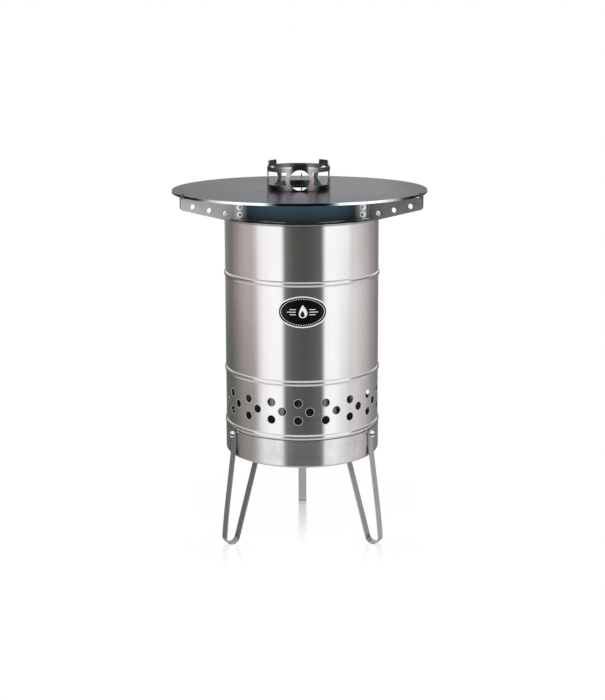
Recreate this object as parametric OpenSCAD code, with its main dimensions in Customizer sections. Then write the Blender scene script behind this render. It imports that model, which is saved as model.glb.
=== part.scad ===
// Wood-fired steel barrel on three hairpin legs, with a griddle plate on a bracket
// frame and a pot ring over the hole in the plate.
// Millimetres. +Z up, origin on the floor under the barrel's axis, front is -Y.
// Azimuth is counted from the front toward +X.

/* [Barrel] */
// outer radius of the barrel's sheet
shell_r = 181.4; // [160:0.1:200]
// sheet thickness of the barrel, the chamber and the pan
sheet = 1; // [0.8:0.1:1.4]
// height of the rolled rim's centre above the floor
rim_z = 771.5; // [760:0.5:790]
// radius of the rolled rim's bead
rim_bead_r = 2.5; // [2:0.1:3]
// how far a stiffening bead stands out of the sheet
bead_out = 2.7; // [2:0.1:3]
// height of a stiffening bead along the barrel
bead_h = 13; // [11:0.5:15]
// height of the upper bead
bead_top_z = 637.5; // [600:0.5:680]
// height of the middle bead
bead_mid_z = 410; // [400:0.5:450]
// height of the lowest bead, which sits on the pan
bead_low_z = 283.2; // [283:0.1:284]

/* [Air holes] */
// diameter of an air hole in the barrel
vent_d = 19.5; // [12:0.5:20]
// air holes around each row
vent_count = 18; // [12:1:20]
// height of the top row
vent_top_z = 363.5; // [360:0.5:370]
// drop from one row to the next
vent_pitch = 20.3; // [19:0.1:22]
// azimuth of the first hole in the outer rows
vent_turn = -2.8; // [-10:0.1:10]
// how far the middle row is turned from the outer rows
vent_stagger = 8.4; // [5:0.1:12]

/* [Fire chamber] */
// inner radius of the fire chamber
chamber_r = 145; // [144.5:0.1:147]
// height of the chamber's bottom edge
chamber_low_z = 286; // [270:1:300]
// diameter of a primary air hole near the chamber's bottom
primary_d = 10; // [6:1:12]
// diameter of a secondary air hole near the chamber's top
secondary_d = 8; // [5:0.5:10]

/* [Pan and legs] */
// height of the pan's underside
pan_z = 212; // [200:0.5:230]
// height of the pan's open edge
pan_top_z = 276.4; // [276:0.1:276.6]
// radius of the pan's bottom corner
pan_corner = 5; // [4:1:14]
// width of the leg strip
leg_w = 20; // [16:1:24]
// thickness of the leg strip
leg_t = 3; // [3:0.5:5]
// height of the leg's upper end, under the lowest bead
leg_top_z = 276; // [275:0.1:276.2]
// radius of the foot bend at the middle of the strip
foot_r = 17; // [14:1:18]
// lean of the inner limb away from upright
inner_lean = 16; // [14:0.5:18]
// height of the upper leg bolts
leg_bolt_z = 266; // [262:0.5:268]

/* [Griddle plate] */
// radius of the griddle plate
plate_r = 298.8; // [290:0.2:299]
// thickness of the griddle plate
plate_t = 6; // [5:0.5:8]
// radius of the hole in the middle of the plate
plate_hole_r = 69.6; // [69.4:0.1:70]
// how far the loose plate lies to the right of the barrel's axis, between its hooks
plate_rest_x = -4.6; // [-4.6:0.1:4.6]

/* [Bracket frame] */
// thickness of the bracket sheet
arm_t = 3; // [2:0.5:3]
// outer radius of the bent wall
wall_r = 142.5; // [141:0.5:143.5]
// top of the bent wall
wall_top_z = 809.5; // [806:0.5:814]
// bottom of the bent wall, inside the chamber's mouth
wall_low_z = 752; // [740:1:765]
// inside radius of the sheet bends
bend_r = 4; // [3:0.5:6]
// outer end of an arm
arm_end = 313; // [312:0.5:318]
// diameter of the round holes along an arm
arm_hole_d = 12; // [8:0.5:13]
// radius of the bracket screws
screw_reach = 164.5; // [158:0.5:165]
// outer end of the tab under the screws
tab_end = 174; // [173:0.5:176]
// gap between an arm and the tab that lies on it
tab_gap = 0.15; // [0.12:0.01:0.3]

/* [Pot ring] */
// outer radius of the pot ring
ring_r = 73.7; // [72.5:0.1:78]
// sheet thickness of the pot ring
ring_t = 2.5; // [2:0.1:2.5]
// height of the pot ring's band
ring_h = 53.2; // [52:0.1:56]
// height of a pot rest above the band
rest_h = 10.8; // [6:0.1:14]
// diameter of the round holes under the pot rests
ring_hole_d = 47; // [36:0.5:47.5]
// azimuth to which the ring is turned
ring_turn = 2.4; // [-10:0.1:10]
// how far the loose ring lies off the middle of the plate's hole, to the right
ring_shift = -2.1; // [-2.3:0.1:2.3]

/* [Badge] */
// half width of the badge
badge_a = 55.8; // [50:0.1:56]
// height of the badge's centre
badge_z = 575.1; // [540:0.1:600]
// azimuth of the badge's centre
badge_turn = 0.5; // [-5:0.1:5]

/* [Hidden] */
$fn = 96;
eps = 0.02;
rim_top_z = rim_z + rim_bead_r;
skirt_z = 250;
seat_z = 828;
pan_r = shell_r + 0.2 + sheet;
leg_x = pan_r + 0.05;
top_ring_r = shell_r - sheet - 1.3;
chamber_out = chamber_r + sheet;
knee_z = 242.1;
lean = 7.7;
low_lean = 4.5;
sweep_r = 1500;

base_pan();
leg_left();
leg_right();
leg_rear();
leg_bolts();
leg_washers();
leg_nuts();
foot_bolts();
foot_nuts();
outer_shell();
fire_chamber();
top_ring();
badge();
fire_grate();
bracket_left();
bracket_right();
bracket_rear();
bracket_screws();
bracket_washers();
bracket_nuts();
griddle_plate();
pot_ring();

// ---------- helpers ----------

// Children drawn along +X are turned to azimuth a.
module at_azimuth(a) {
  rotate([0, 0, a - 90])
    children();
}

// The three places where legs and arms stand.
module at_thirds() {
  for (a = [-60, 60, 180])
    at_azimuth(a)
      children();
}

// A round bar along +X from x0 to x1 at height z.
module bar_x(d, x0, x1, z) {
  translate([x0, 0, z])
    rotate([0, 90, 0])
      cylinder(d = d, h = x1 - x0);
}

// A round bar along +Y from y0 to y1 at x and height z.
module bar_y(d, y0, y1, x, z) {
  translate([x, y0, z])
    rotate([-90, 0, 0])
      cylinder(d = d, h = y1 - y0);
}

// Pie slice from angle a0 to a1, less than 180 degrees wide.
module slice(r, a0, a1) {
  polygon([
    [0, 0],
    [r * cos(a0), r * sin(a0)],
    [r * cos((2 * a0 + a1) / 3) * 1.2, r * sin((2 * a0 + a1) / 3) * 1.2],
    [r * cos((a0 + 2 * a1) / 3) * 1.2, r * sin((a0 + 2 * a1) / 3) * 1.2],
    [r * cos(a1), r * sin(a1)]
  ]);
}

// Strip bent round (x, y): middle radius r, thickness t, from angle a0 to a1.
module bend(x, y, r, t, a0, a1) {
  translate([x, y])
    intersection() {
      difference() {
        circle(r = r + t / 2);
        circle(r = r - t / 2);
      }
      slice(2 * (r + t), a0, a1);
    }
}

// Straight strip from (x0, y0) to (x1, y1), thickness t.
module strip(x0, y0, x1, y1, t) {
  len = sqrt((x1 - x0) * (x1 - x0) + (y1 - y0) * (y1 - y0));
  translate([x0, y0])
    rotate(atan2(y1 - y0, x1 - x0))
      translate([0, -t / 2])
        square([len, t]);
}

// Straight strip that runs on a little at both ends, so that it joins its neighbours.
module lapped_strip(x0, y0, x1, y1, t) {
  a = atan2(y1 - y0, x1 - x0);
  strip(x0 - 0.3 * cos(a), y0 - 0.3 * sin(a), x1 + 0.3 * cos(a), y1 + 0.3 * sin(a), t);
}

// Bend that laps into the straight strips at both of its ends, a hair thinner than they
// are, so that no two surfaces merely touch.
module lapped_bend(x, y, r, t, a0, a1) {
  bend(x, y, r, t - 0.06, a0 - 1, a1 + 1);
}

// Cross-section of a sheet wall from z0 to z1 with outer radius r.
module wall_section(r, z0, z1) {
  translate([r - sheet, z0])
    square([sheet, z1 - z0]);
}

// ---------- base: pan, legs and their bolts ----------

// Pan that closes the barrel below and catches the ash.
module base_pan() {
  color([0.72, 0.71, 0.70])
    difference() {
      rotate_extrude() {
        wall_section(pan_r, pan_z + pan_corner, pan_top_z);
        translate([0, pan_z])
          square([pan_r - pan_corner, sheet]);
        bend(pan_r - pan_corner, pan_z + pan_corner, pan_corner - sheet / 2, sheet, -90, 0);
      }
      at_thirds() {
        bar_x(8.4, pan_r - 8, pan_r + 8, leg_bolt_z);
        translate([foot_bolt_x(), 0, pan_z - 2])
          cylinder(d = 6.4, h = 8);
      }
    }
}

// The outer limb leans by low_lean just over the foot and by lean from the sweep's top up.
function foot_x() = leg_x + leg_t / 2 + lean_run() - foot_r * cos(low_lean);
function foot_z() = foot_r + leg_t / 2 - 0.15;
function lean_run() = sweep_r * (cos(low_lean) - cos(lean)) + (knee_z - sweep_z(3)) * tan(lean);
function sweep_lean(i) = low_lean + i * (lean - low_lean) / 3;
function sweep_x(i) = foot_x() + foot_r * cos(low_lean)
  + sweep_r * (cos(sweep_lean(i)) - cos(low_lean));
function sweep_z(i) = foot_z() + foot_r * sin(low_lean)
  + sweep_r * (sin(sweep_lean(i)) - sin(low_lean));
function toe_x() = foot_x() - foot_r * cos(inner_lean);
function toe_z() = foot_z() - foot_r * sin(inner_lean);
function flange_z() = pan_z - leg_t / 2;
function corner_x() = toe_x() - (flange_z() - toe_z()) * tan(inner_lean);
function turn_len(r, a) = r * tan(a / 2);
function foot_bolt_x() = corner_x() - 21;

// Side view of one leg, strip edge on: upper tongue, outer limb, foot, inner limb, flange.
module leg_section() {
  mid = leg_x + leg_t / 2;
  knee = turn_len(40, lean);
  fold = turn_len(8, 90 - inner_lean);
  lapped_strip(mid, knee_z + knee, mid, leg_top_z + 1, leg_t);
  lapped_bend(mid + 40, knee_z + knee, 40, leg_t, 180, 180 + lean);
  lapped_strip(
    mid + knee * sin(lean), knee_z - knee * cos(lean),
    sweep_x(3), sweep_z(3), leg_t
  );
  for (i = [0:2])
    lapped_strip(sweep_x(i), sweep_z(i), sweep_x(i + 1), sweep_z(i + 1), leg_t);
  lapped_bend(foot_x(), foot_z(), foot_r, leg_t, 180 + inner_lean, 360 + low_lean);
  lapped_strip(
    toe_x(), toe_z(),
    corner_x() + fold * sin(inner_lean), flange_z() - fold * cos(inner_lean), leg_t
  );
  lapped_bend(corner_x() - fold, flange_z() - 8, 8, leg_t, inner_lean, 90);
  lapped_strip(corner_x() - 34, flange_z(), corner_x() - fold, flange_z(), leg_t);
}

// Hairpin leg along +X with both bolt holes and a small flat under the foot.
module leg() {
  color([0.62, 0.61, 0.59])
    difference() {
      rotate([90, 0, 0])
        linear_extrude(height = leg_w, center = true)
          intersection() {
            leg_section();
            square([400, leg_top_z]);
          }
      bar_x(8.4, leg_x - 3, leg_x + leg_t + 3, leg_bolt_z);
      translate([foot_bolt_x(), 0, pan_z - leg_t - 2])
        cylinder(d = 6.4, h = leg_t + 4);
      translate([leg_x - 3, 0, leg_top_z])
        rotate([0, 90, 0])
          difference() {
            translate([-0.5, -12, 0])
              cube([leg_w / 2 + 0.5, 24, leg_t + 6]);
            translate([leg_w / 2, 0, -1])
              cylinder(r = leg_w / 2, h = leg_t + 8);
          }
    }
}

module leg_left() {
  at_azimuth(-60)
    leg();
}

module leg_right() {
  at_azimuth(60)
    leg();
}

module leg_rear() {
  at_azimuth(180)
    leg();
}

// Hexagon bolts that hold the legs against the pan's side.
module leg_bolts() {
  color([0.80, 0.80, 0.81])
    at_thirds() {
      bar_x(8, leg_x - 10.5, leg_x + leg_t + 1.6, leg_bolt_z);
      translate([leg_x + leg_t + 1.6, 0, leg_bolt_z])
        rotate([0, 90, 0])
          intersection() {
            cylinder(d = 15, h = 5.3, $fn = 6);
            cylinder(r1 = 10.9, r2 = 6.6, h = 5.3);
          }
    }
}

module leg_washers() {
  color([0.77, 0.77, 0.78])
    at_thirds()
      difference() {
        bar_x(16, leg_x + leg_t, leg_x + leg_t + 1.6, leg_bolt_z);
        bar_x(8.4, leg_x, leg_x + leg_t + 4, leg_bolt_z);
      }
}

module leg_nuts() {
  color([0.74, 0.74, 0.75])
    at_thirds()
      difference() {
        translate([leg_x - sheet - 6.8, 0, leg_bolt_z])
          rotate([0, 90, 0])
            cylinder(d = 15, h = 6.5, $fn = 6);
        bar_x(8.1, leg_x - 14, leg_x + 2, leg_bolt_z);
      }
}

// Bolts that hold the legs' inner flanges under the pan.
module foot_bolts() {
  color([0.78, 0.78, 0.79])
    at_thirds()
      translate([foot_bolt_x(), 0, pan_z - leg_t]) {
        cylinder(d = 6, h = leg_t + sheet + 7);
        translate([0, 0, -4])
          cylinder(d = 11.5, h = 4, $fn = 6);
      }
}

module foot_nuts() {
  color([0.74, 0.74, 0.75])
    at_thirds()
      translate([foot_bolt_x(), 0, pan_z + sheet])
        difference() {
          cylinder(d = 11.5, h = 5, $fn = 6);
          translate([0, 0, -1])
            cylinder(d = 6.1, h = 7);
        }
}

// ---------- barrel: shell, chamber, top ring and badge ----------

// Radius of the circle whose cap makes a bead.
function bead_rho() = (bead_h * bead_h / 4 + bead_out * bead_out) / (2 * bead_out);

// Solid part of a bead at height z.
module bead_outside(z) {
  intersection() {
    translate([shell_r + bead_out - bead_rho(), z])
      circle(r = bead_rho());
    translate([shell_r - sheet, z - bead_h])
      square([sheet + bead_out + 1, 2 * bead_h]);
  }
}

// Hollow behind a bead at height z.
module bead_inside(z) {
  translate([shell_r + bead_out - bead_rho(), z])
    circle(r = bead_rho() - sheet);
}

// Row of radial holes on a wall of radius r.
module hole_row(count, d, r, z, turn) {
  for (i = [0:count - 1])
    at_azimuth(turn + i * 360 / count)
      bar_x(d, r - 8, r + 8, z);
}

// Outer shell with a rolled rim, three beads, three rows of air holes
// and notches in its skirt that pass the pan's nuts.
module outer_shell() {
  color([0.80, 0.79, 0.78])
    difference() {
      rotate_extrude() {
        difference() {
          union() {
            wall_section(shell_r, skirt_z, rim_z);
            bead_outside(bead_top_z);
            bead_outside(bead_mid_z);
            bead_outside(bead_low_z);
          }
          bead_inside(bead_top_z);
          bead_inside(bead_mid_z);
          bead_inside(bead_low_z);
        }
        translate([shell_r - sheet + rim_bead_r, rim_z])
          difference() {
            circle(r = rim_bead_r);
            circle(r = rim_bead_r - sheet);
          }
      }
      hole_row(vent_count, vent_d, shell_r, vent_top_z, vent_turn);
      hole_row(vent_count, vent_d, shell_r, vent_top_z - vent_pitch, vent_turn + vent_stagger);
      hole_row(vent_count, vent_d, shell_r, vent_top_z - 2 * vent_pitch, vent_turn);
      at_thirds()
        translate([shell_r - 8, -9, skirt_z - 1])
          cube([16, 18, leg_bolt_z + 10 - skirt_z]);
    }
}

// Fire chamber: hangs by its top flange, carries the grate on its bottom flange.
module fire_chamber() {
  color([0.60, 0.58, 0.56])
    difference() {
      rotate_extrude() {
        wall_section(chamber_out, chamber_low_z, rim_top_z);
        translate([chamber_r, rim_top_z - sheet])
          square([9, sheet]);
        translate([chamber_r - 14, chamber_low_z])
          square([15, sheet]);
      }
      hole_row(18, primary_d, chamber_out, chamber_low_z + 10, 0);
      hole_row(24, secondary_d, chamber_out, rim_top_z - 40, 0);
    }
}

// Ring that closes the gap between the shell and the chamber.
module top_ring() {
  color([0.70, 0.69, 0.68])
    rotate_extrude() {
      translate([chamber_out + 0.1, rim_top_z - 2 * sheet])
        square([top_ring_r - chamber_out - 0.1, sheet]);
      wall_section(top_ring_r + 1.25, rim_top_z - 22, rim_top_z - 14);
      translate([top_ring_r - sheet, rim_top_z - 15])
        square([2.2, sheet]);
      wall_section(top_ring_r, rim_top_z - 15, rim_top_z - sheet);
    }
}

// Four-arc oval with half width a + grow. The end arcs are a hair smaller, so that they
// cross the long arcs' ends and don't merely touch them.
module oval(a, grow) {
  c = 0.47 * a;
  b = 0.646 * a;
  k = b - a + c;
  d = (c * c - k * k) / (2 * k);
  big = b + d;
  small = a - c;
  xt = c * big / (big - small);
  intersection() {
    translate([0, -d])
      circle(r = big + grow);
    translate([0, d])
      circle(r = big + grow);
    square([2 * xt, 4 * a], center = true);
  }
  translate([c, 0])
    circle(r = small + grow - 0.03);
  translate([-c, 0])
    circle(r = small + grow - 0.03);
}

// Band of a cylinder between two radii, tall enough for the badge.
module badge_band(r0, r1) {
  translate([0, 0, badge_z - 60])
    difference() {
      cylinder(r = r1, h = 120);
      translate([0, 0, -1])
        cylinder(r = r0, h = 122);
    }
}

// Oval standing in front of the shell at the badge's place.
module badge_prism(grow) {
  at_azimuth(badge_turn)
    translate([shell_r - 30, 0, badge_z])
      rotate([90, 0, 90])
        linear_extrude(height = 60)
          oval(badge_a, grow);
}

// Oval badge plate, curved to the shell, with a raised border.
module badge() {
  color([0.12, 0.12, 0.12])
    union() {
      intersection() {
        badge_band(shell_r + eps, shell_r + 0.9);
        badge_prism(0);
      }
      intersection() {
        badge_band(shell_r + 0.5, shell_r + 1.5);
        difference() {
          badge_prism(0);
          badge_prism(-2.8);
        }
      }
    }
}

// ---------- loose fire grate ----------

// Round grate with air holes, lying on the chamber's bottom flange.
module fire_grate() {
  color([0.35, 0.34, 0.33])
    difference() {
      translate([0, 0, chamber_low_z + sheet])
        cylinder(r = chamber_r - 8, h = 3);
      for (ring = [1:4])
        for (i = [0:6 * ring - 1])
          rotate([0, 0, i * 60 / ring])
            translate([ring * 29, 0, chamber_low_z])
              cylinder(d = 12, h = 8);
      translate([0, 0, chamber_low_z])
        cylinder(d = 12, h = 8);
    }
}

// ---------- bracket frame ----------

// Distance along the arm of a bend centre that lies y beside the arm's middle.
function root_x(y) = sqrt((wall_r + set_in_r()) * (wall_r + set_in_r()) - y * y);
// Bend centres sit a hair closer to the sheet than the bend's radius, so that the
// bend laps over the flat sheet on both sides.
function set_in_r() = bend_r - 0.05;
function lap() = 0.94 * acos(set_in_r() / bend_r);

// Plan view of one bracket: arm, bend, curved wall, bend, tab on the next arm.
module bracket_plan() {
  y0 = arm_t / 2 + set_in_r();
  y1 = 3 * arm_t / 2 + tab_gap + set_in_r();
  t0 = asin(y0 / (wall_r + set_in_r()));
  t1 = asin(y1 / (wall_r + set_in_r()));
  mid = bend_r + arm_t / 2;
  translate([root_x(y0), -arm_t / 2])
    square([arm_end - root_x(y0), arm_t]);
  bend(root_x(y0), y0, mid, arm_t, 180 + t0 - lap(), 270 + lap());
  intersection() {
    difference() {
      circle(r = wall_r);
      circle(r = wall_r - arm_t);
    }
    slice(3 * wall_r, t0, 120 - t1);
  }
  rotate(120) {
    bend(root_x(y1), -y1, mid, arm_t, 90 - lap(), 180 - t1 + lap());
    translate([root_x(y1), -3 * arm_t / 2 - tab_gap])
      square([tab_end - root_x(y1), arm_t]);
  }
}

// Side view of an arm, seen along the tangent: rim notch, sloping underside, plate seat, hook.
module arm_side() {
  slope = 0.272;
  pitch = atan(slope);
  cz = 799.5 + (arm_end - 12 - 301 + 2) * slope + 10 / cos(pitch);
  cx = arm_end - 10;
  foot_x = pan_r + 7.9;
  difference() {
    union() {
      polygon([
        [wall_r - 8, rim_top_z],
        [pan_r + 4.4, rim_top_z],
        [foot_x, 799.5 - (301 - foot_x) * slope],
        [cx + 10 * sin(pitch), cz - 10 * cos(pitch)],
        [cx, cz],
        [arm_end, cz],
        [arm_end, seat_z + plate_t + 1],
        [arm_end - 10, seat_z + plate_t + 1],
        [arm_end - 10, seat_z],
        [192, seat_z],
        [156, wall_top_z + 2.5],
        [wall_r - 8, wall_top_z]
      ]);
      translate([cx, cz])
        circle(r = 10);
      translate([arm_end - 5, seat_z + plate_t + 1])
        circle(r = 5);
    }
    translate([201, 787])
      circle(d = arm_hole_d);
    translate([241, 797])
      circle(d = arm_hole_d);
    translate([282, 808])
      circle(d = arm_hole_d);
  }
}

// One bracket with its arm along +X and its wall running toward rising azimuth.
module bracket() {
  difference() {
    intersection() {
      translate([0, 0, wall_low_z])
        linear_extrude(height = 100)
          bracket_plan();
      union() {
        translate([0, 0, rim_top_z])
          rotate([0, 0, 12])
            linear_extrude(height = wall_top_z - rim_top_z)
              slice(400, 0, 108);
        translate([0, 0, rim_top_z])
          rotate([0, 0, 120])
            translate([wall_r - 20, -30, 0])
              cube([70, 30 - arm_t / 2, wall_top_z - rim_top_z]);
        translate([0, 0, wall_low_z])
          linear_extrude(height = wall_top_z - wall_low_z)
            intersection() {
              circle(r = wall_r + 0.3);
              slice(400, 7, 112);
            }
        rotate([90, 0, 0])
          linear_extrude(height = 2 * wall_r, center = true)
            intersection() {
              arm_side();
              translate([0, 700])
                square([400, 200]);
            }
      }
    }
    for (z = [783, 800]) {
      bar_y(6.4, -8, 8, screw_reach, z);
      rotate([0, 0, 120])
        bar_y(6.4, -12, 4, screw_reach, z);
    }
  }
}

module bracket_left() {
  color([0.42, 0.43, 0.45])
    at_azimuth(-60)
      bracket();
}

module bracket_right() {
  color([0.42, 0.43, 0.45])
    at_azimuth(60)
      bracket();
}

module bracket_rear() {
  color([0.42, 0.43, 0.45])
    at_azimuth(180)
      bracket();
}

// Each joint's two screw axes, +Z out of the head. The heads face the front at both
// front arms, so the left arm's screws go in from its other side.
module at_screws() {
  for (a = [-60, 60, 180])
    at_azimuth(a)
      for (z = [783, 800])
        if (a < 0)
          translate([screw_reach, arm_t / 2, z])
            rotate([-90, 0, 0])
              children();
        else
          translate([screw_reach, -3 * arm_t / 2 - tab_gap, z])
            rotate([90, 0, 0])
              children();
}

// Button-head screws through tab and arm, two at each joint.
module bracket_screws() {
  color([0.82, 0.82, 0.84])
    at_screws()
      difference() {
        union() {
          translate([0, 0, -2 * arm_t - tab_gap - 7.5])
            cylinder(d = 6, h = 2 * arm_t + tab_gap + 7.5);
          intersection() {
            cylinder(d = 14, h = 3.3);
            translate([0, 0, -7.4])
              sphere(r = 10.7);
          }
        }
        translate([0, 0, 1.3])
          cylinder(d = 4.6, h = 4, $fn = 6);
      }
}

module bracket_washers() {
  color([0.78, 0.78, 0.80])
    at_screws()
      translate([0, 0, -2 * arm_t - tab_gap - 1.4])
        difference() {
          cylinder(d = 14, h = 1.4);
          translate([0, 0, -1])
            cylinder(d = 6.4, h = 4);
        }
}

module bracket_nuts() {
  color([0.76, 0.76, 0.78])
    at_screws()
      translate([0, 0, -2 * arm_t - tab_gap - 6.4])
        difference() {
          cylinder(d = 11.5, h = 5, $fn = 6);
          translate([0, 0, -1])
            cylinder(d = 6.1, h = 7);
        }
}

// ---------- griddle plate and pot ring ----------

// Round steel griddle plate with a hole for the pot ring.
module griddle_plate() {
  color([0.45, 0.45, 0.46])
    translate([plate_rest_x, 0, 0])
      rotate_extrude()
        polygon([
          [plate_hole_r, seat_z + 0.6],
          [plate_hole_r + 0.6, seat_z],
          [plate_r - 0.6, seat_z],
          [plate_r, seat_z + 0.6],
          [plate_r, seat_z + plate_t - 0.6],
          [plate_r - 0.6, seat_z + plate_t],
          [plate_hole_r + 0.6, seat_z + plate_t],
          [plate_hole_r, seat_z + plate_t - 0.6]
        ]);
}

// Tongue that drops into the plate's hole and keeps the pot ring in place.
module ring_tongue() {
  rotate([0, 0, -4])
    rotate_extrude(angle = 8)
      union() {
        translate([plate_hole_r - 5, seat_z + plate_t - 12])
          square([2.5, 14.2]);
        translate([plate_hole_r - 5, seat_z + plate_t + 0.2])
          square([ring_r - ring_t - plate_hole_r + 5.5, 2]);
      }
}

// Sheet ring with three pot rests, three round holes and three windows.
module pot_ring() {
  z0 = seat_z + plate_t;
  mid = z0 + ring_h / 2 - 0.9;
  window_low = mid - 13.2;
  color([0.38, 0.36, 0.34])
    translate([plate_rest_x + ring_shift, 0, 0])
      rotate([0, 0, ring_turn])
        union() {
          difference() {
            translate([0, 0, z0])
              cylinder(r = ring_r, h = ring_h + rest_h);
            translate([0, 0, z0 - 1])
              cylinder(r = ring_r - ring_t, h = ring_h + rest_h + 2);
            for (a = [0, 120, 240]) {
              at_azimuth(a)
                bar_x(ring_hole_d, ring_r - 12, ring_r + 5, mid);
              difference() {
                at_azimuth(a + 60)
                  translate([0, 0, window_low])
                    linear_extrude(height = 30)
                      slice(2 * ring_r, -50, 50);
                at_azimuth(a)
                  bar_x(66, 10, ring_r + 5, mid);
                at_azimuth(a + 120)
                  bar_x(66, 10, ring_r + 5, mid);
              }
            }
            difference() {
              translate([0, 0, z0 + ring_h])
                cylinder(r = ring_r + 1, h = rest_h + 2);
              for (a = [0, 120, 240])
                at_azimuth(a)
                  translate([30, 0, z0 + ring_h])
                    rotate([90, 0, 90])
                      linear_extrude(height = ring_r)
                        polygon([[-19.8, -1], [19.8, -1], [17, rest_h + 3], [-17, rest_h + 3]]);
            }
          }
          for (a = [0, 120, 240])
            at_azimuth(a)
              ring_tongue();
        }
}
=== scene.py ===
import math

import bmesh
import bpy
from mathutils import Matrix, Vector


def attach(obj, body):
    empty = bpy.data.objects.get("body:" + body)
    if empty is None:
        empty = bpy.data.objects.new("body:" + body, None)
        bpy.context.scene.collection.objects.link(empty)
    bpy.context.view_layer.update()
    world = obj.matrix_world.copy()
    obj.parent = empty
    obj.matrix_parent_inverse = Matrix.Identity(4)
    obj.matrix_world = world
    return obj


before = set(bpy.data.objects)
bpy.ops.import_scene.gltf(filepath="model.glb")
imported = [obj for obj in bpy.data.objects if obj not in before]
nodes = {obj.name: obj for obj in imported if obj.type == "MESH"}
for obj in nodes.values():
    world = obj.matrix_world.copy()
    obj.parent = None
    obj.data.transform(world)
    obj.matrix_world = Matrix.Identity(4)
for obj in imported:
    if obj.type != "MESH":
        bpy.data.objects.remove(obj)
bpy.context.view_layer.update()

# Sizes shared with the design, in metres and degrees
ARMS = (-60, 60, 180)
SHELL_R = 0.1814
SHELL_TOP = nodes["outer_shell"].bound_box[6][2]
PAN_TOP, PAN_CORNER = 0.2764, 0.2165
LEG_BOLT_Z = 0.266
FEET_R = 0.235
WALL_R, HOOK_TIP_R = 0.1475, 0.3128
SCREW_REACH, SCREW_Z, SCREW_PITCH = 0.1645, 0.783, 0.017
PLATE_X, PLATE_R = -0.0046, 0.2988
RING_X, RING_R, RING_LOW, RING_TURN = PLATE_X - 0.0021, 0.0737, 0.834, 2.4
BADGE_Z, BADGE_TURN, BADGE_A, BADGE_B = 0.5751, 0.5, 0.0558, 0.0360
VENT_R, VENT_PITCH = 0.00975, 20.0
VENT_ROWS = ((0.3635, -2.8), (0.3432, 5.6), (0.3229, -2.8))

# ---------------------------------------------------------------- node helpers


class Graph:
    """A node tree with short calls for the nodes used here."""

    def __init__(self, nt, coord):
        self.nt = nt
        self.nt.nodes.clear()
        self.coord = coord(nt) if coord else None

    def link(self, a, b):
        self.nt.links.new(a, b)

    def put(self, socket, value):
        if isinstance(value, bpy.types.NodeSocket):
            self.link(value, socket)
        elif hasattr(socket.default_value, "__len__") and not hasattr(value, "__len__"):
            for i in range(min(3, len(socket.default_value))):
                socket.default_value[i] = value
        elif hasattr(value, "__len__") and len(socket.default_value) == 4:
            socket.default_value = (*value[:3], 1.0)
        else:
            socket.default_value = value

    def node(self, kind, **props):
        n = self.nt.nodes.new(kind)
        for k, v in props.items():
            setattr(n, k, v)
        return n

    def math(self, op, a, b=0.0, c=0.0):
        n = self.node("ShaderNodeMath", operation=op)
        for s, v in zip(n.inputs, (a, b, c)):
            self.put(s, v)
        return n.outputs[0]

    def add(self, a, b):
        return self.math("ADD", a, b)

    def mul(self, a, b):
        return self.math("MULTIPLY", a, b)

    def scaled(self, scale, coord=None):
        n = self.node("ShaderNodeMapping")
        self.put(n.inputs["Vector"], coord or self.coord)
        n.inputs["Scale"].default_value = scale
        return n.outputs[0]

    def noise(self, scale, detail=3.0, rough=0.5, coord=None):
        n = self.node("ShaderNodeTexNoise")
        self.put(n.inputs["Vector"], coord or self.coord)
        n.inputs["Scale"].default_value = scale
        n.inputs["Detail"].default_value = detail
        n.inputs["Roughness"].default_value = rough
        return n.outputs["Fac"]

    def remap(self, v, a, b, lo=0.0, hi=1.0, kind="LINEAR"):
        n = self.node("ShaderNodeMapRange", interpolation_type=kind)
        for s, x in zip(("Value", "From Min", "From Max", "To Min", "To Max"), (v, a, b, lo, hi)):
            self.put(n.inputs[s], x)
        return n.outputs[0]

    def step(self, v, a, b):
        return self.remap(v, a, b, 0.0, 1.0, "SMOOTHSTEP")

    def mix(self, f, a, b, how="MIX"):
        n = self.node("ShaderNodeMix", data_type="RGBA", blend_type=how)
        self.put(n.inputs[0], f)
        self.put(n.inputs[6], a)
        self.put(n.inputs[7], b)
        return n.outputs[2]

    def xyz(self, coord=None):
        n = self.node("ShaderNodeSeparateXYZ")
        self.put(n.inputs[0], coord or self.coord)
        return n.outputs

    def vec(self, x, y, z):
        n = self.node("ShaderNodeCombineXYZ")
        for s, v in zip(n.inputs, (x, y, z)):
            self.put(s, v)
        return n.outputs[0]

    def length(self, x, y):
        return self.math("SQRT", self.add(self.mul(x, x), self.mul(y, y)))


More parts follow.
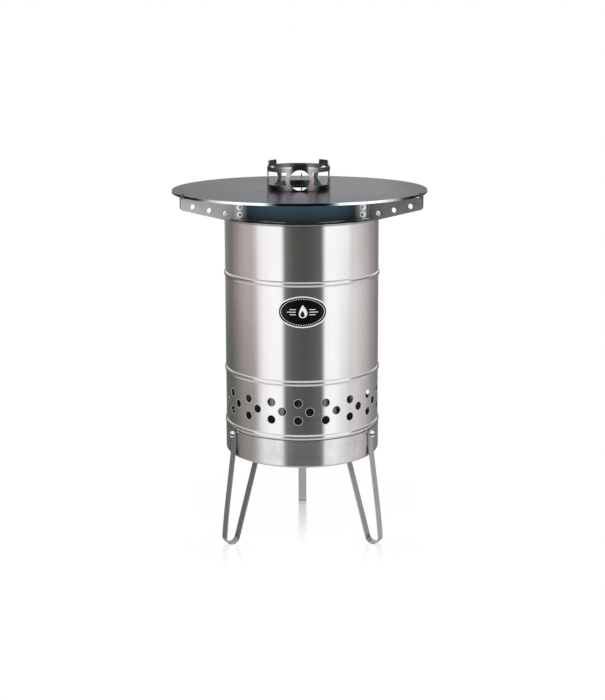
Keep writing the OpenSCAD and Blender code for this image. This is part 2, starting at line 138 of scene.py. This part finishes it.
class Tree(Graph):
    """A material with a Principled shader."""

    def __init__(self, name):
        self.mat = bpy.data.materials.new(name)
        self.mat.use_nodes = True
        super().__init__(
            self.mat.node_tree, lambda nt: nt.nodes.new("ShaderNodeTexCoord").outputs["Object"]
        )
        self.out = self.node("ShaderNodeOutputMaterial")
        self.bsdf = self.node("ShaderNodeBsdfPrincipled")
        self.link(self.bsdf.outputs[0], self.out.inputs[0])

    def round_coord(self, x0=0.0):
        """(angle, radius, height) about the vertical axis, so that a pattern runs round the object."""
        x, y, z = self.xyz()
        x = self.add(x, -x0)
        ang = self.math("ARCTAN2", x, self.mul(y, -1.0))
        return ang, self.length(x, y), z

    def bump(self, height, strength, distance=0.001, normal=None):
        n = self.node("ShaderNodeBump")
        self.put(n.inputs["Height"], height)
        n.inputs["Strength"].default_value = strength
        n.inputs["Distance"].default_value = distance
        if normal:
            self.put(n.inputs["Normal"], normal)
        return n.outputs[0]

    def soft_edge(self, radius):
        n = self.node("ShaderNodeBevel", samples=4)
        n.inputs["Radius"].default_value = radius
        return n.outputs[0]

    def brush_round(self):
        """Brushing that runs round the vertical axis, so highlights smear upward and downward."""
        n = self.node("ShaderNodeTangent", direction_type="RADIAL", axis="Z")
        self.link(n.outputs[0], self.bsdf.inputs["Tangent"])
        self.set(Anisotropic=0.85, Anisotropic_Rotation=0.25)

    def set(self, **values):
        for k, v in values.items():
            self.put(self.bsdf.inputs[k.replace("_", " ")], v)


def shade(base, f):
    return [min(1.0, c * f) for c in base]


def paint(obj, mat):
    obj.data.materials.clear()
    obj.data.materials.append(mat)


def smooth(obj, angle=30):
    for p in obj.data.polygons:
        p.use_smooth = True
    bm = bmesh.new()
    bm.from_mesh(obj.data)
    sharp = math.radians(angle)
    for e in bm.edges:
        e.smooth = len(e.link_faces) == 2 and e.calc_face_angle(0.0) < sharp
    bm.to_mesh(obj.data)
    bm.free()


# ---------------------------------------------------------------- materials


def brushed(name, base, rough, streak=0.02, blotch=0.04, stripes=0.07, marks=None):
    """Sheet steel brushed round the vertical axis. marks() adds local detail."""
    t = Tree(name)
    ang, rad, z = t.round_coord()
    fine = t.noise(1.0, 2.0, 0.6, t.vec(t.mul(ang, 4.0), rad, t.mul(z, 2400.0)))
    wide = t.noise(1.0, 3.0, 0.6, t.vec(t.mul(ang, 1.5), rad, t.mul(z, 190.0)))
    rolled = t.noise(1.0, 3.0, 0.55, t.vec(t.mul(ang, 26.0), rad, t.mul(z, 2.2)))
    cloud = t.noise(8.0, 4.0, 0.55)
    v = t.add(t.mul(fine, 0.6), t.mul(wide, 0.4))
    col = t.mix(t.remap(v, 0.3, 0.7), shade(base, 1 - streak), shade(base, 1 + streak))
    col = t.mix(t.remap(rolled, 0.35, 0.7, 0.0, stripes), col, shade(base, 0.7))
    col = t.mix(t.remap(cloud, 0.4, 0.75, 0.0, blotch), col, shade(base, 0.7))
    r = t.remap(v, 0.25, 0.75, rough * 0.9, rough * 1.1)
    r = t.add(r, t.remap(cloud, 0.3, 0.7, -0.01, 0.02))
    metallic = 1.0
    if marks:
        col, r, metallic = marks(t, ang, rad, z, col, r)
    t.set(Base_Color=col, Metallic=metallic, Roughness=r)
    t.brush_round()
    t.link(t.bump(v, 0.03, 0.0002), t.bsdf.inputs["Normal"])
    return t.mat


def satin(
    name, base, rough, grain=(60.0, 60.0, 60.0), metallic=1.0, var=0.10, bump=0.05, edge=0.0, local=None
):
    """Plain satin or raw metal with clouds, grain and small marks. local() adds local detail."""
    t = Tree(name)
    cloud = t.noise(14.0, 5.0, 0.6)
    fine = t.noise(1.0, 3.0, 0.6, t.scaled(tuple(g * 12 for g in grain)))
    marks = t.noise(380.0, 2.0, 0.7)
    col = t.mix(t.remap(cloud, 0.3, 0.7), shade(base, 1 - var), shade(base, 1 + var))
    col = t.mix(t.remap(marks, 0.62, 0.75, 0.0, 0.25), col, shade(base, 0.7))
    r = t.remap(fine, 0.3, 0.7, rough * 0.85, min(1.0, rough * 1.2))
    if local:
        col, r, metallic = local(t, col, r)
    t.set(Base_Color=col, Metallic=metallic, Roughness=r)
    normal = t.soft_edge(edge) if edge else None
    t.link(t.bump(fine, bump, 0.0003, normal), t.bsdf.inputs["Normal"])
    return t.mat


def vent_rims(t, ang, rad, z, col, r):
    """Pale punched edge round every air hole, painted shade on the shell's inner face, weld seam
    behind, painted shade on the rolled rim.
    """
    pitch = math.radians(VENT_PITCH)
    near = None
    for row_z, turn in VENT_ROWS:
        # the added whole pitches keep the angle positive
        a = t.math("PINGPONG", t.add(ang, 20 * pitch - math.radians(turn)), pitch / 2)
        d = t.length(t.mul(a, SHELL_R), t.add(z, -row_z))
        near = d if near is None else t.math("MINIMUM", near, d)
    rim = t.mul(t.step(near, VENT_R - 0.0002, VENT_R), t.step(near, VENT_R + 0.0011, VENT_R + 0.0006))
    col = t.mix(rim, col, [0.62, 0.63, 0.61])
    # painted shade: the shell's inner face and the hole walls are darkened
    inside_shade = t.step(rad, SHELL_R - 0.0002, SHELL_R - 0.0008)
    col = t.mix(t.mul(inside_shade, 0.55), col, [0.16, 0.15, 0.14])
    seam = t.step(t.math("SUBTRACT", math.pi, t.math("ABSOLUTE", ang)), 0.012, 0.004)
    col = t.mix(t.mul(seam, 0.45), col, [0.40, 0.36, 0.33])
    r = t.add(r, t.add(t.mul(inside_shade, 0.2), t.mul(seam, 0.15)))
    # painted shade: the rolled rim at the top is darkened
    lip_shade = t.step(z, SHELL_TOP - 0.0085, SHELL_TOP - 0.0055)
    col = t.mix(t.mul(lip_shade, 0.72), col, [0.22, 0.245, 0.225])
    return col, t.add(r, t.mul(rim, 0.2)), t.remap(rim, 0.0, 1.0, 1.0, 0.25)


def lit_inside(t, ang, rad, z, col, r):
    """A little fill light, as much as comes in through the air holes."""
    t.set(Emission_Color=col, Emission_Strength=0.03)
    return col, r, 1.0


def pan_marks(t, ang, rad, z, col, r):
    """Painted shadow under the shell's bead along the dark seam, a duller underside with painted shade,
    soft matt clouds on the wall.
    """
    # painted shadow of the shell's bead over the dark seam
    joint_shadow = t.step(z, PAN_TOP - 0.0012, PAN_TOP - 0.0003)
    # painted shade on the underside, which is also made duller
    under = t.step(z, PAN_CORNER, PAN_CORNER - 0.0025)
    col = t.mix(t.mul(joint_shadow, 0.8), col, [0.05, 0.05, 0.05])
    col = t.mix(t.mul(under, 0.35), col, [0.35, 0.34, 0.33])
    matt = t.noise(1.0, 3.0, 0.55, t.vec(t.mul(ang, 7.0), rad, t.mul(z, 40.0)))
    col = t.mix(t.remap(matt, 0.40, 0.68, 0.0, 0.24), col, [0.42, 0.41, 0.40])
    r = t.add(r, t.remap(matt, 0.36, 0.64, 0.0, 0.05))
    return col, t.add(r, t.mul(under, 0.12)), 1.0


def plate():
    """Griddle steel: rolled grain and faint scratches on top, an edge with a painted highlight on two
    sides and painted shade between and beyond.
    """
    t = Tree("plate_steel")
    ang, rad, _ = t.round_coord(PLATE_X)
    grain = t.noise(1.0, 3.0, 0.6, t.scaled((90.0, 900.0, 90.0)))
    cloud = t.noise(5.0, 4.0, 0.55)
    spots = t.noise(60.0, 3.0, 0.6)
    scratch = t.noise(1.0, 2.0, 0.5, t.scaled((2500.0, 22.0, 1.0)))
    base = [0.118, 0.120, 0.125]
    col = t.mix(t.remap(cloud, 0.3, 0.7), shade(base, 0.92), shade(base, 1.08))
    col = t.mix(t.remap(spots, 0.55, 0.8, 0.0, 0.25), col, shade(base, 0.8))
    r = t.add(t.remap(grain, 0.3, 0.7, 0.22, 0.26), t.remap(cloud, 0.3, 0.7, -0.015, 0.02))
    r = t.add(r, t.remap(scratch, 0.66, 0.72, 0.0, 0.04))
    edge = t.step(rad, PLATE_R - 0.0008, PLATE_R - 0.0004)
    # painted highlight and shade: the edge is bright at both sides of the front, and dark in the middle
    # and beyond
    side = t.math("ABSOLUTE", t.add(ang, -0.02))
    edge_lit_sides = t.mul(t.step(side, 0.16, 0.30), t.step(side, 0.90, 0.64))
    col = t.mix(edge, col, t.mix(edge_lit_sides, [0.03, 0.035, 0.04], [0.90, 0.97, 1.0]))
    r = t.add(r, t.mul(edge, -0.06))
    t.set(Base_Color=col, Metallic=1.0, Roughness=r)
    # painted shade on the reflection: the top's specular tint is darker toward both sides
    x = t.xyz()[0]
    reflect_shade = t.mix(t.remap(x, -0.30, 0.08), [0.42, 0.43, 0.45], [0.55, 0.545, 0.57])
    reflect_shade = t.mix(t.remap(x, 0.19, 0.30), reflect_shade, [0.375, 0.375, 0.39])
    t.put(t.bsdf.inputs["Specular Tint"], t.mix(edge, reflect_shade, [1.0, 1.0, 1.0]))
    t.link(t.bump(grain, 0.04, 0.0002), t.bsdf.inputs["Normal"])
    return t.mat


def heat_tinted():
    """Cut sheet that has been hot: dark scale, with a pale pinkish painted highlight on the steel
    beside each round hole.
    """
    t = Tree("ring_steel")
    ang, rad, z = t.round_coord(RING_X)
    # angle from the middle of the nearest of the three round holes
    a = t.math("PINGPONG", t.add(ang, math.tau - math.radians(RING_TURN)), math.pi / 3)
    patch = t.noise(60.0, 4.0, 0.6)
    fine = t.noise(700.0, 2.0, 0.6)
    scale = t.mix(t.remap(patch, 0.35, 0.65), [0.100, 0.108, 0.120], [0.150, 0.160, 0.180])
    # painted reflection: the inner face gets a paler bluish tone
    inner = t.step(rad, RING_R - 0.0012, RING_R - 0.0018)
    scale = t.mix(inner, scale, [0.25, 0.28, 0.29])
    # painted highlight: a pale pinkish tone on the steel beside each round hole
    highlight_tone = t.mix(t.remap(patch, 0.35, 0.65), [0.56, 0.49, 0.46], [0.44, 0.37, 0.35])
    a = t.add(a, t.remap(patch, 0.2, 0.8, -0.05, 0.05))
    column_highlight = t.mul(t.step(a, 0.20, 0.29), t.step(a, 0.66, 0.40))
    column_highlight = t.mul(column_highlight, t.step(rad, RING_R - 0.0016, RING_R - 0.0008))
    col = t.mix(column_highlight, scale, highlight_tone)
    col = t.mix(t.remap(fine, 0.55, 0.75, 0.0, 0.3), col, [0.05, 0.05, 0.055])
    # painted shade at the bottom of the ring, where it sits in the plate's hole, reaching higher
    # between the holes
    foot_shade = t.mul(t.step(z, RING_LOW + 0.013, RING_LOW + 0.006), t.step(a, 0.35, 0.60))
    foot_shade = t.math("MAXIMUM", foot_shade, t.step(z, RING_LOW + 0.0035, RING_LOW + 0.0015))
    col = t.mix(t.mul(foot_shade, 0.62), col, [0.03, 0.032, 0.035])
    t.set(Base_Color=col, Metallic=1.0, Roughness=t.remap(patch, 0.3, 0.7, 0.20, 0.30))
    t.link(t.bump(fine, 0.06, 0.0002, t.soft_edge(0.0004)), t.bsdf.inputs["Normal"])
    return t.mat


def bracket(name, steel, rough):
    """Arm in plain brushed sheet; the bent wall between the arms is blued and matt."""

    def local(t, col, r):
        _, rad, z = t.round_coord()
        wall = t.step(rad, WALL_R, WALL_R - 0.004)
        # painted shade: the blued wall is darker toward the bottom
        top = t.remap(z, 0.775, 0.808)
        blue = t.mix(top, [0.050, 0.102, 0.138], [0.070, 0.132, 0.180])
        patch = t.noise(30.0, 3.0, 0.6)
        blue = t.mix(t.remap(patch, 0.4, 0.7, 0.0, 0.2), blue, [0.06, 0.10, 0.13])
        hook = t.mul(t.step(rad, HOOK_TIP_R - 0.0138, HOOK_TIP_R - 0.0098), t.step(z, 0.824, 0.832))
        col = t.mix(t.mul(hook, 0.8), col, [0.07, 0.085, 0.095])
        # painted shade on the arm's outer end face
        tip = t.step(rad, HOOK_TIP_R - 0.001, HOOK_TIP_R)
        col = t.mix(t.mul(tip, 0.9), col, [0.02, 0.02, 0.02])
        # the tab and the arm under it are paler round the screws
        near = t.mul(
            t.step(rad, SCREW_REACH + 0.0155, SCREW_REACH + 0.0075),
            t.step(rad, SCREW_REACH - 0.0185, SCREW_REACH - 0.0155),
        )
        col = t.mix(t.mul(near, 0.6), col, [0.78, 0.79, 0.79])
        cloud = t.noise(22.0, 3.0, 0.6)
        col = t.mix(t.remap(cloud, 0.4, 0.7, 0.0, 0.25), col, shade(steel, 0.7))
        r = t.add(r, t.mul(wall, 0.30))
        return t.mix(wall, col, blue), r, t.remap(wall, 0.0, 1.0, 1.0, 0.25)

    return satin(name, steel, rough, grain=(40.0, 40.0, 6.0), edge=0.0005, local=local)


def bolt_painted_light(t, col, r):
    """Painted dark reflection across the middle of each leg bolt's head; the rest of the head glows
    faintly, a painted highlight.
    """
    z = t.add(t.xyz()[2], -LEG_BOLT_Z)
    painted_dark_band = t.mul(t.step(z, 0.0018, 0.0006), t.step(z, -0.0034, -0.0022))
    col = t.mix(t.mul(painted_dark_band, 0.93), col, [0.03, 0.03, 0.03])
    # painted highlight: the head glows faintly outside the dark middle
    t.set(Emission_Color=[1.0, 1.0, 1.0], Emission_Strength=t.remap(painted_dark_band, 0.0, 1.0, 0.22, 0.0))
    return col, r, t.remap(painted_dark_band, 0.0, 1.0, 0.6, 1.0)


def rear_bend_shade(t, col, r):
    """Painted shade on the underside of the rear leg's bend."""
    toe_shading = t.step(t.xyz()[2], 0.009, 0.005)
    return t.mix(t.mul(toe_shading, 0.7), col, [0.04, 0.04, 0.04]), r, 0.5


def front_bend_glints(t, col, r):
    """Smoother, with patches of painted highlight and shade, where a front leg bends round at the
    floor.
    """
    low = t.step(t.xyz()[2], 0.020, 0.013)
    patch = t.noise(160.0, 2.0, 0.5)
    # painted highlight and shade in patches on the bend
    glint_patches = t.mix(t.remap(patch, 0.42, 0.58), [0.16, 0.16, 0.15], [0.48, 0.48, 0.47])
    return t.mix(low, col, glint_patches), t.add(r, t.mul(low, -0.12)), t.remap(low, 0.0, 1.0, 0.5, 0.85)


def screw_face(t, col, r):
    """White plated rim that glows faintly, a painted highlight, round a blue-grey middle on every
    bracket screw.
    """
    x, y, z = t.xyz()
    # height from the nearest row of screws; the added whole pitches change nothing
    dz = t.math("PINGPONG", t.add(z, SCREW_PITCH * 20 - SCREW_Z), SCREW_PITCH / 2)
    off = None
    for deg in ARMS:
        c, s = math.sin(math.radians(deg)), -math.cos(math.radians(deg))
        a = t.math("ABSOLUTE", t.add(t.add(t.mul(x, c), t.mul(y, s)), -SCREW_REACH))
        off = a if off is None else t.math("MINIMUM", off, a)
    d = t.length(off, dz)
    middle = t.step(d, 0.0048, 0.0034)
    col = t.mix(middle, col, [0.34, 0.44, 0.54])
    # painted highlight: the rim glows, the middle less
    glint = t.mul(t.step(d, 0.0076, 0.0070), t.remap(middle, 0.0, 1.0, 0.42, 0.06))
    t.set(Emission_Color=[1.0, 1.0, 1.0], Emission_Strength=glint)
    return col, t.add(r, t.mul(middle, -0.08)), t.remap(middle, 0.0, 1.0, 0.05, 0.5)


def enamel():
    """Black gloss field with a pale metal border, told apart by their height over the shell."""
    t = Tree("badge_enamel")
    _, rad, _ = t.round_coord()
    rim = t.step(rad, SHELL_R + 0.00095, SHELL_R + 0.00115)
    speck = t.noise(900.0, 2.0, 0.6)
    dark = t.mix(t.remap(speck, 0.5, 0.7, 0.0, 0.2), [0.002, 0.002, 0.002], [0.012, 0.012, 0.012])
    t.set(
        Base_Color=t.mix(rim, dark, [0.88, 0.88, 0.87]),
        Metallic=t.mul(rim, 0.2),
        Roughness=t.remap(rim, 0.0, 1.0, 0.22, 0.34),
        Specular_IOR_Level=0.35,
    )
    return t.mat


shell_mat = brushed("shell_steel", [0.72, 0.705, 0.70], 0.17, marks=vent_rims)
pan_mat = brushed(
    "pan_steel", [0.70, 0.69, 0.68], 0.20, streak=0.07, blotch=0.3, stripes=0.2, marks=pan_marks
)
chamber_mat = brushed(
    "chamber_steel", [0.27, 0.26, 0.25], 0.26, streak=0.05, blotch=0.3, stripes=0.9, marks=lit_inside
)
ring_top_mat = brushed("rim_steel", [0.40, 0.43, 0.42], 0.12)
# one leg steel; the left leg's darker copy is painted shade
leg_mats = {
    side: satin("leg_steel_" + side, grey, 0.42, (8.0, 8.0, 50.0), edge=0.0005, local=toe_shading)
    for side, grey, toe_shading in (
        ("left", [0.215, 0.217, 0.209], front_bend_glints),
        ("right", [0.40, 0.395, 0.38], front_bend_glints),
        ("rear", [0.40, 0.40, 0.385], rear_bend_shade),
    )
}
bolt_mat = satin("bolt_steel", [0.90, 0.90, 0.89], 0.16, edge=0.0006, local=bolt_painted_light)
fast_mat = satin("fastener_steel", [0.90, 0.90, 0.89], 0.10, edge=0.0008)
zinc_mat = satin("zinc", [0.90, 0.93, 0.96], 0.30, edge=0.0004, local=screw_face)
grate_mat = satin("grate_iron", [0.07, 0.07, 0.07], 0.65, var=0.3, bump=0.3)
# one bracket steel; the right bracket's darker copy is painted shade
bracket_mats = {
    "bracket_left": bracket("bracket_steel_left", [0.45, 0.45, 0.44], 0.38),
    "bracket_right": bracket("bracket_steel_right", [0.19, 0.19, 0.18], 0.42),
    "bracket_rear": bracket("bracket_steel_rear", [0.42, 0.42, 0.41], 0.40),
}

finish = {
    "outer_shell": shell_mat,
    "base_pan": pan_mat,
    "leg_left": leg_mats["left"],
    "leg_right": leg_mats["right"],
    "leg_rear": leg_mats["rear"],
    "leg_bolts": bolt_mat,
    "leg_washers": fast_mat,
    "leg_nuts": fast_mat,
    "foot_bolts": fast_mat,
    "foot_nuts": fast_mat,
    "fire_chamber": chamber_mat,
    "top_ring": ring_top_mat,
    "badge": enamel(),
    "fire_grate": grate_mat,
    **bracket_mats,
    "bracket_screws": zinc_mat,
    "bracket_washers": zinc_mat,
    "bracket_nuts": zinc_mat,
    "griddle_plate": plate(),
    "pot_ring": heat_tinted(),
}
for name, mat in finish.items():
    paint(nodes[name], mat)
    smooth(nodes[name])

# ---------------------------------------------------------------- badge ornament


def on_shell(u, v, lift):
    """Point u along the shell and v up from the badge's centre, lift above the shell."""
    a = math.radians(BADGE_TURN) + u / SHELL_R
    r = SHELL_R + lift
    return Vector((r * math.sin(a), -r * math.cos(a), BADGE_Z + v))


def raised(name, outlines, low, high, mat):
    """Flat shapes that stand out of the badge; an outline is a list of (u, v), and it is filled."""
    bm = bmesh.new()
    for outline in outlines:
        back = [bm.verts.new(on_shell(u, v, low)) for u, v in outline]
        front = [bm.verts.new(on_shell(u, v, high)) for u, v in outline]
        n = len(outline)
        bm.faces.new(front)
        bm.faces.new(back[::-1])
        for i in range(n):
            bm.faces.new((back[i], back[(i + 1) % n], front[(i + 1) % n], front[i]))
    bmesh.ops.recalc_face_normals(bm, faces=bm.faces)
    me = bpy.data.meshes.new(name)
    bm.to_mesh(me)
    bm.free()
    o = bpy.data.objects.new(name, me)
    bpy.context.scene.collection.objects.link(o)
    paint(o, mat)
    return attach(o, "barrel")


def ellipse(cu, cv, ru, rv, n=24):
    return [
        (cu + ru * math.cos(2 * math.pi * i / n), cv + rv * math.sin(2 * math.pi * i / n))
        for i in range(n)
    ]


def bar(cu, cv, w, h):
    """Upright-ended bar in short lengths, so that it follows the shell's curve."""
    n = max(1, int(w / 0.003))
    lower = [(cu - w / 2 + w * i / n, cv - h / 2) for i in range(n + 1)]
    upper = [(u, cv + h / 2) for u, _ in reversed(lower)]
    return lower + upper


def tongue(cu, cv, h, bend):
    """Plain flame of height h, its tip bent to one side."""
    pts = []
    n = 32
    for i in range(n):
        s = 2 * math.pi * i / n
        up = 0.5 - 0.5 * math.cos(s)
        wide = 0.42 * h * math.sin(s) * (1 - up) ** 0.55
        pts.append((cu + wide + bend * math.sin(math.pi * up) * h, cv + h * up))
    return pts


pale_mat = satin("badge_pale", [0.90, 0.90, 0.88], 0.42, metallic=0.2)
dark_mat = satin("badge_dark", [0.01, 0.01, 0.01], 0.30, metallic=0.0)
low, high = 0.0008, 0.00125
dots = []
dot_count = 56
for i in range(dot_count):
    s = 2 * math.pi * (i + 0.5) / dot_count
    u, v = (BADGE_A - 0.0064) * math.cos(s), (BADGE_B - 0.0062) * math.sin(s)
    dots.append(ellipse(u, v, 0.00115, 0.00115, 8))
raised("badge_dots", dots, low, high, pale_mat)
raised("badge_flame", [tongue(0.0, -0.0135, 0.0300, 0.05)], low, high, pale_mat)
raised("badge_flame_core", [tongue(0.0005, -0.0115, 0.0150, -0.05)], low, high + 0.0002, dark_mat)
lines = []
for side in (-1, 1):
    for k, wide in ((-1, 0.014), (0, 0.020), (1, 0.014)):
        lines.append(bar(side * (0.0150 + wide / 2), 0.0058 * k, wide, 0.0016))
raised("badge_lines", lines, low, high, pale_mat)

# ---------------------------------------------------------------- studio

world = bpy.data.worlds.new("studio")
bpy.context.scene.world = world
world.use_nodes = True
w = Graph(world.node_tree, None)
wout = w.node("ShaderNodeOutputWorld")

# What the metal mirrors at about eye level: two soft boxes beside the camera, a dark room
# behind the camera, warm grey walls beyond the boxes. (degrees from the camera, + to the
# right; red, green, blue)
bands = (
    (-180, 0.42, 0.41, 0.40), (-168, 0.42, 0.41, 0.39), (-148, 0.28, 0.26, 0.25),
    (-128, 0.28, 0.25, 0.24), (-110, 0.65, 0.55, 0.55), (-98, 0.96, 0.82, 0.82),
    (-84, 1.12, 0.98, 0.98), (-71, 1.02, 0.95, 0.94), (-66.5, 1.28, 1.27, 1.27),
    (-30, 1.36, 1.37, 1.38), (-25, 0.19, 0.20, 0.21), (-12, 0.097, 0.101, 0.093),
    (6, 0.079, 0.083, 0.072), (18, 0.10, 0.11, 0.11), (30, 0.15, 0.16, 0.17),
    (35, 1.34, 1.35, 1.36), (62, 1.34, 1.34, 1.34), (74, 1.38, 1.37, 1.37),
    (85, 1.36, 1.33, 1.34), (96, 1.15, 1.10, 1.11), (110, 0.88, 0.82, 0.82),
    (128, 0.50, 0.46, 0.46), (152, 0.23, 0.22, 0.21), (180, 0.42, 0.41, 0.40),
)
# Incoming points back to the viewer, so the looked-at direction is its negative
ix, iy, iz = w.xyz(w.node("ShaderNodeNewGeometry").outputs["Incoming"])
azimuth = w.math("ARCTAN2", w.mul(ix, -1.0), iy)
rise = w.mul(w.math("ARCSINE", w.mul(iz, -1.0)), 180 / math.pi)
off = w.mul(w.math("ABSOLUTE", azimuth), 180 / math.pi)
ramp = w.node("ShaderNodeValToRGB")
els = ramp.color_ramp.elements
peak = 2.0
for i, (deg, *rgb) in enumerate(bands):
    pos = (deg + 180) / 360
    e = els[i] if i < 2 else els.new(pos)
    e.position = pos
    e.color = (*(v / peak for v in rgb), 1)
w.link(w.add(w.mul(azimuth, 0.5 / math.pi), 0.5), ramp.inputs[0])
view = w.mix(1.0, ramp.outputs[0], [peak] * 3, "MULTIPLY")
# the walls lose light, and the left one its warmth, toward the floor
turn = w.mul(azimuth, 180 / math.pi)
left = w.mul(w.step(turn, -56, -80), w.step(rise, -9.5, -13.0))
view = w.mix(w.mul(left, 0.79), view, [0.088, 0.109, 0.096])
right = w.mul(w.step(turn, 52, 78), w.step(rise, -9.5, -13.0))
view = w.mix(w.mul(right, 0.44), view, [0.22, 0.22, 0.21])
low = w.mul(w.mul(w.step(off, 48, 62), w.step(off, 92, 74)), w.step(rise, -14.0, -18.0))
view = w.mix(w.mul(low, 0.27), view, [0.28, 0.28, 0.27])
# near the horizon the walls beside the boxes are dark
dim = w.mul(w.mul(w.step(off, 70, 80), w.step(off, 172, 150)), w.step(rise, -6.6, -5.2))
view = w.mix(w.mul(dim, 0.88), view, [0.02, 0.02, 0.02])
# the white sweep behind the object, above the horizon, and the ceiling
sweep = w.mul(w.step(off, 100, 150), w.step(rise, -2.0, 3.0))
view = w.mix(sweep, view, [1.0, 1.0, 1.0])
view = w.mix(w.step(rise, 12, 30), view, [0.95, 0.95, 0.95])
# the floor
view = w.mix(w.step(rise, -24, -38), view, [0.80, 0.80, 0.80])
# matt surfaces get an even fill light instead
paths = w.node("ShaderNodeLightPath").outputs
view = w.mix(paths["Is Diffuse Ray"], view, [1.15, 1.15, 1.15])
mirror = w.node("ShaderNodeBackground")
w.link(view, mirror.inputs[0])
plain = w.node("ShaderNodeBackground")
plain.inputs[0].default_value = (1, 1, 1, 1)
pick = w.node("ShaderNodeMixShader")
w.link(paths["Is Camera Ray"], pick.inputs[0])
w.link(mirror.outputs[0], pick.inputs[1])
w.link(plain.outputs[0], pick.inputs[2])
w.link(pick.outputs[0], wout.inputs[0])


def floor():
    """White floor that gives no horizon, with a faint soft reflection of the feet."""
    bm = bmesh.new()
    bmesh.ops.create_circle(bm, cap_ends=True, radius=40.0, segments=96)
    me = bpy.data.meshes.new("studio_floor")
    bm.to_mesh(me)
    bm.free()
    o = bpy.data.objects.new("studio_floor", me)
    bpy.context.scene.collection.objects.link(o)
    t = Tree("floor_white")
    t.nt.nodes.remove(t.bsdf)
    x, y, _ = t.xyz()
    share = None
    for deg, most, reach in zip(ARMS, (0.17, 0.17, 0.62), (0.13, 0.13, 0.34)):
        fx, fy = FEET_R * math.sin(math.radians(deg)), -FEET_R * math.cos(math.radians(deg))
        far = t.length(t.add(x, -fx), t.add(y, -fy))
        here = t.mul(t.remap(far, 0.02, reach, 1.0, 0.0), most)
        share = here if share is None else t.math("MAXIMUM", share, here)
    lit = t.node("ShaderNodeEmission")
    gloss = t.node("ShaderNodeBsdfGlossy")
    gloss.inputs["Color"].default_value = (1, 1, 1, 1)
    gloss.inputs["Roughness"].default_value = 0.15
    both = t.node("ShaderNodeMixShader")
    t.link(share, both.inputs[0])
    t.link(lit.outputs[0], both.inputs[1])
    t.link(gloss.outputs[0], both.inputs[2])
    t.link(both.outputs[0], t.out.inputs[0])
    paint(o, t.mat)
    o.visible_glossy = False
    o.visible_diffuse = False
    return o


floor()

cam_data = bpy.data.cameras.new("camera")
cam = bpy.data.objects.new("camera", cam_data)
bpy.context.scene.collection.objects.link(cam)
cam_data.sensor_width = 36.0
cam_data.lens = 67.12
cam_data.shift_y = -1 / 7  # the object stands high in the frame
cam.location = (0.0019, -3.0457, 1.1687)
cam.rotation_mode = "QUATERNION"
pitch, roll = math.radians(8.98), -0.0028
cam.rotation_quaternion = (
    Matrix.Rotation(math.pi / 2 - pitch, 3, "X") @ Matrix.Rotation(roll, 3, "Z")
).to_quaternion()
bpy.context.scene.camera = cam
bpy.context.scene.view_settings.view_transform = "Standard"
